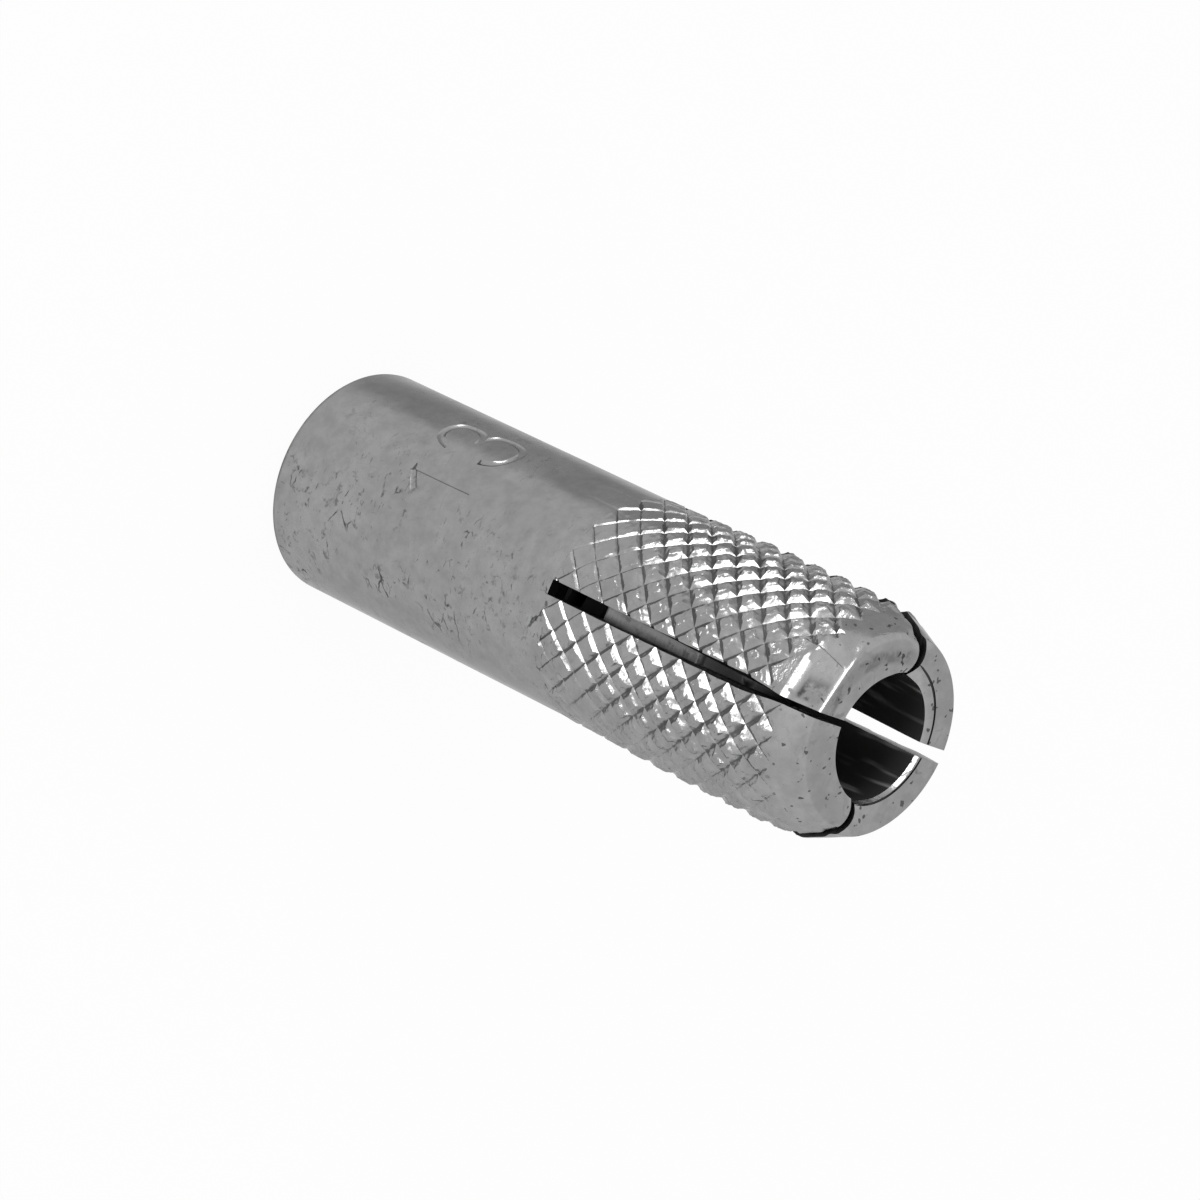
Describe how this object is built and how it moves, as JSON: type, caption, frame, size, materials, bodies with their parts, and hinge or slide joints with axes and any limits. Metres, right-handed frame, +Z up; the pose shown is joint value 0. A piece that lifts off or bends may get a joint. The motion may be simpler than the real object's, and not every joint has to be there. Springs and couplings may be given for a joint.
{
  "type": "drop in anchor",
  "caption": "Internally threaded steel expansion anchor: plain barrel, diamond-knurled slotted end, and a tapered expander plug wedged inside.",
  "frame": {"origin": "centre of the threaded mouth's end face, on the axis", "axes": "+Z up the axis from the threaded mouth to the slotted tip; the slot that stays widest at the tip faces +Y and the slot with the narrowest tip faces -Y"},
  "size_m": [0.0162, 0.0162, 0.0508],
  "materials": {
    "sleeve_steel": "bright zinc plated carbon steel, satin, lightly scratched",
    "plug_steel": "plain turned carbon steel"
  },
  "bodies": {
    "root": {"anchor_sleeve": "sleeve_steel", "expander_plug": "plug_steel"}
  },
  "joints": []
}
